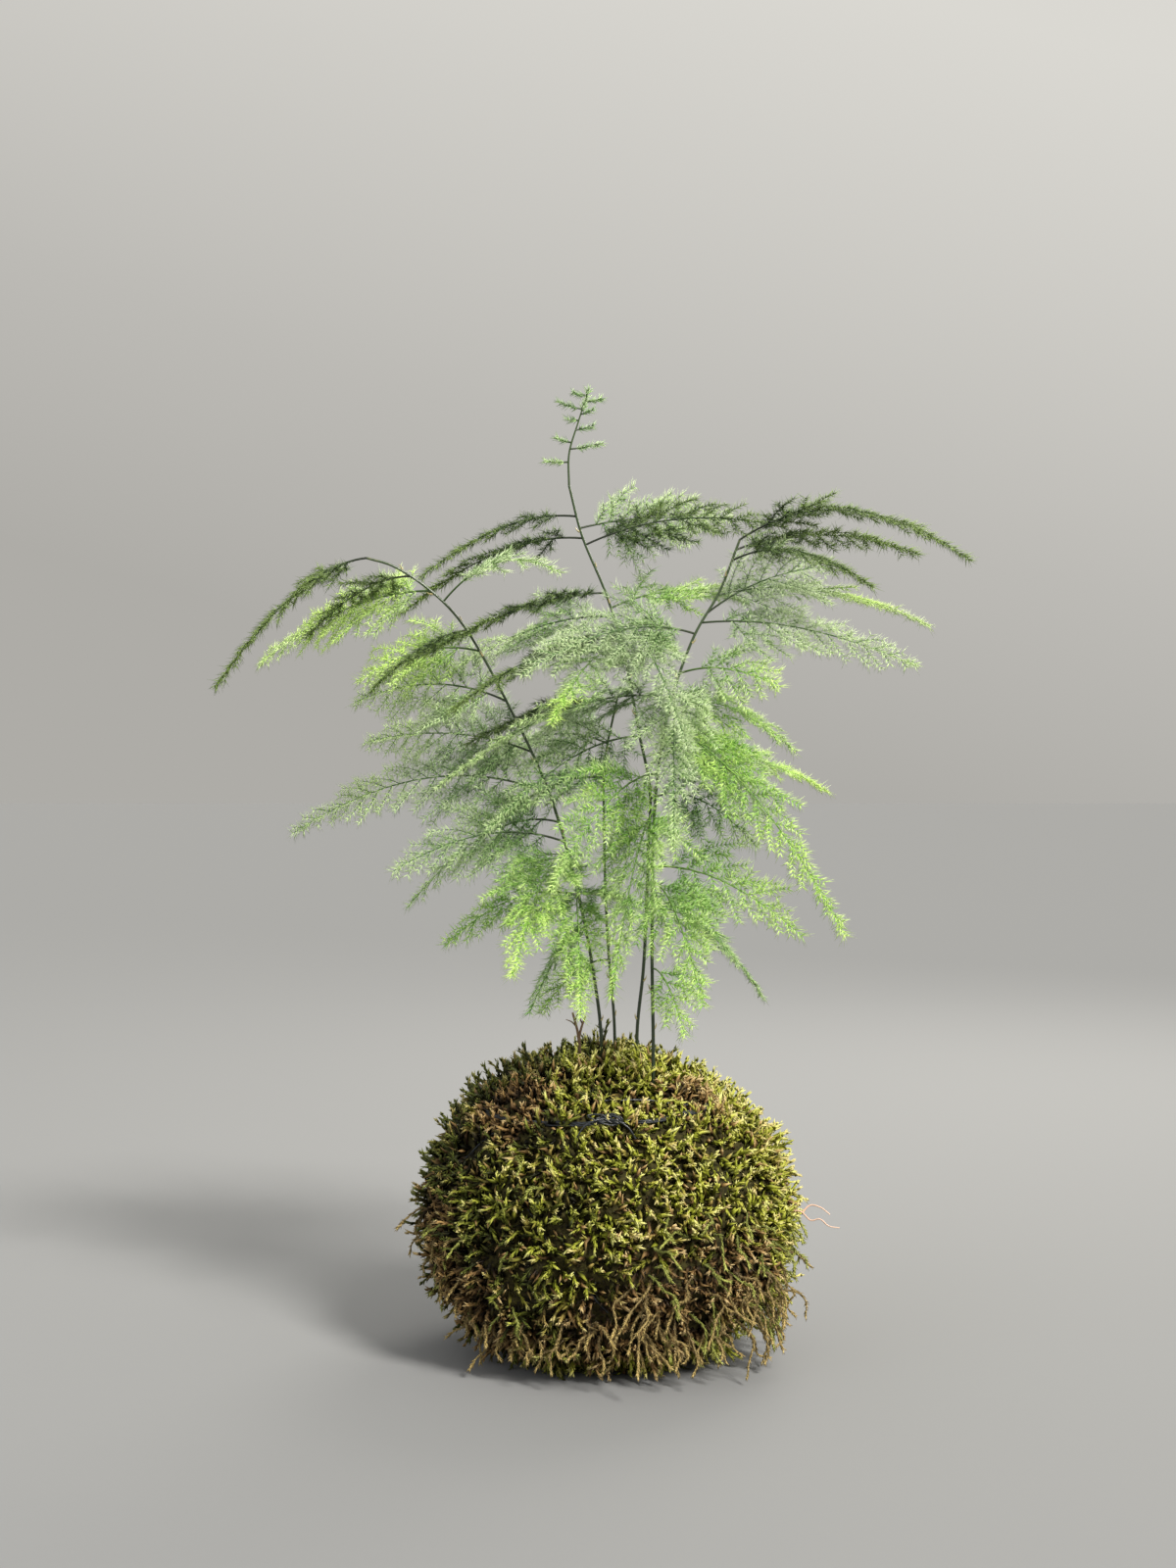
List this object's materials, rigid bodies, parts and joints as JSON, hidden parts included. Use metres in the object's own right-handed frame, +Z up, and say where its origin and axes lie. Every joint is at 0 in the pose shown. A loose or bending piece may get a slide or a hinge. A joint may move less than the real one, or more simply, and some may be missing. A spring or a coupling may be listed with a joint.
{
  "type": "kokedama moss ball plant",
  "caption": "Kokedama: a soil ball wrapped in living moss and bound with thin thread, with a plumosa fern of wiry stems and flat feathery fronds growing from its top.",
  "frame": {"origin": "middle of the flat spot under the moss ball that it rests on", "axes": "+Z up, from the resting spot to the leader's tip; +X to the plant's right as it is looked at; +Y away from the viewer"},
  "size_m": [0.2175, 0.1222, 0.2756],
  "materials": {
    "moss": "matte",
    "soil": "matte",
    "thread": "satin",
    "dead_wood": "matte",
    "stem": "satin",
    "young_shoot": "satin",
    "old_foliage": "matte",
    "grown_foliage": "matte",
    "young_foliage": "matte"
  },
  "bodies": {
    "root": {"moss_wrap": "moss", "soil_core": "soil", "binding_thread": "thread", "dry_twig": "dead_wood", "stem_1": "stem", "stem_2": "stem", "stem_3": "stem", "stem_4": "stem", "leader_tip": "young_shoot", "frond_01": "old_foliage", "frond_02": "old_foliage", "frond_03": "young_foliage", "frond_04": "old_foliage", "frond_05": "old_foliage", "frond_06": "young_foliage", "frond_07": "old_foliage", "frond_08": "old_foliage", "frond_09": "old_foliage", "frond_10": "old_foliage", "frond_11": "grown_foliage", "frond_12": "grown_foliage", "frond_13": "grown_foliage", "frond_14": "grown_foliage", "frond_15": "grown_foliage", "frond_16": "young_foliage", "frond_17": "grown_foliage", "frond_18": "young_foliage", "frond_19": "young_foliage", "frond_20": "young_foliage", "frond_21": "young_foliage", "frond_22": "young_foliage", "frond_23": "young_foliage", "frond_24": "grown_foliage", "frond_25": "young_foliage", "frond_26": "old_foliage", "frond_27": "grown_foliage", "frond_28": "old_foliage", "frond_29": "young_foliage", "frond_30": "young_foliage", "frond_31": "grown_foliage", "frond_32": "young_foliage", "frond_33": "grown_foliage", "frond_34": "grown_foliage", "frond_35": "grown_foliage", "frond_36": "young_foliage", "frond_37": "grown_foliage", "frond_38": "young_foliage", "frond_39": "grown_foliage", "frond_40": "young_foliage", "frond_41": "young_foliage", "frond_42": "grown_foliage", "frond_43": "grown_foliage", "frond_44": "young_foliage", "frond_45": "grown_foliage", "frond_46": "old_foliage", "frond_47": "grown_foliage", "frond_48": "young_foliage", "frond_49": "grown_foliage", "frond_50": "grown_foliage", "frond_51": "old_foliage"}
  },
  "joints": []
}
